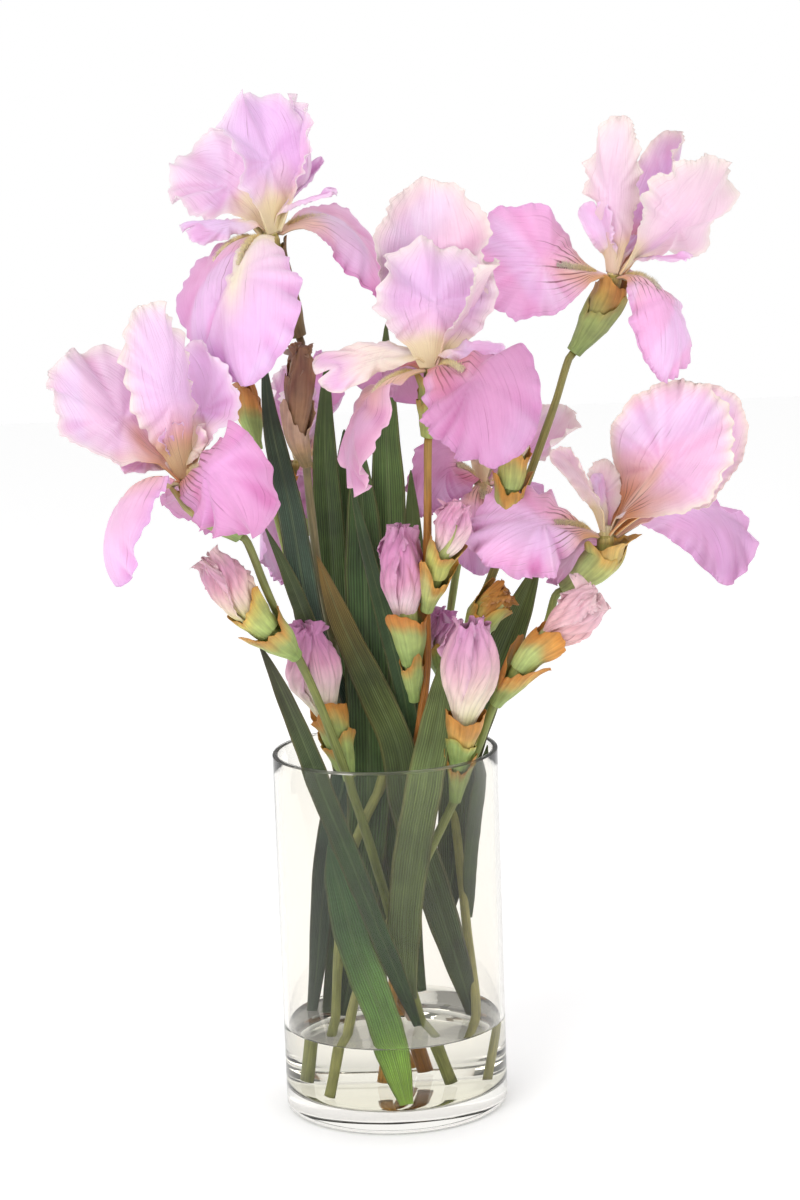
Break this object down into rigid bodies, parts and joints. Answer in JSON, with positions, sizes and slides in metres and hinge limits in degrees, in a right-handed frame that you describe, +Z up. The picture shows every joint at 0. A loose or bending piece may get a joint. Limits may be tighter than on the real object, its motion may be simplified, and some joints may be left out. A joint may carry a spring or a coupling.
{
  "type": "irises in a glass vase",
  "caption": "Cut bearded irises in pink-lilac with buds and sword leaves, standing in a clear glass cylinder vase with a little water.",
  "frame": {"origin": "centre of the vase's underside, on the surface that the vase stands on", "axes": "+Z up along the vase's axis, +X to the right seen from the front, -Y towards the front"},
  "size_m": [0.3771, 0.2787, 0.5709],
  "materials": {
    "clear_glass": "gloss",
    "water": "gloss",
    "orchid_petal": "satin",
    "lilac_petal": "satin",
    "papery_bract": "matte",
    "green_stem": "satin",
    "leaf_green": "satin",
    "bud_petal": "satin"
  },
  "bodies": {
    "root": {"vase": "clear_glass", "water": "water", "iris_1_falls": "orchid_petal", "iris_1_crown": "lilac_petal", "iris_1_spathe": "papery_bract", "iris_1_stem": "green_stem", "iris_2_falls": "orchid_petal", "iris_2_crown": "lilac_petal", "iris_2_spathe": "papery_bract", "iris_2_stem": "green_stem", "iris_3_falls": "orchid_petal", "iris_3_crown": "lilac_petal", "iris_3_spathe": "papery_bract", "iris_3_stem": "green_stem", "iris_4_falls": "orchid_petal", "iris_4_crown": "lilac_petal", "iris_4_spathe": "papery_bract", "iris_4_stem": "green_stem", "iris_5_falls": "orchid_petal", "iris_5_crown": "lilac_petal", "iris_5_spathe": "papery_bract", "iris_5_stem": "green_stem", "iris_6_falls": "orchid_petal", "iris_6_crown": "lilac_petal", "iris_6_spathe": "papery_bract", "iris_6_stem": "green_stem", "iris_7_falls": "orchid_petal", "iris_7_crown": "lilac_petal", "iris_7_spathe": "papery_bract", "iris_7_stem": "green_stem", "leaf_1": "leaf_green", "leaf_2": "leaf_green", "leaf_3": "leaf_green", "leaf_4": "leaf_green", "leaf_5": "leaf_green", "leaf_6": "leaf_green", "leaf_7": "leaf_green", "leaf_8": "leaf_green", "leaf_9": "leaf_green", "leaf_10": "leaf_green", "leaf_11": "leaf_green", "leaf_12": "leaf_green", "leaf_13": "leaf_green", "leaf_14": "leaf_green", "bud_1": "bud_petal", "bud_2": "bud_petal", "bud_3": "bud_petal", "bud_4": "bud_petal", "bud_5": "bud_petal", "bud_6": "bud_petal", "bud_7": "bud_petal", "bud_8": "bud_petal", "bud_9": "bud_petal", "bud_10": "bud_petal", "bract_1": "papery_bract"}
  },
  "joints": []
}
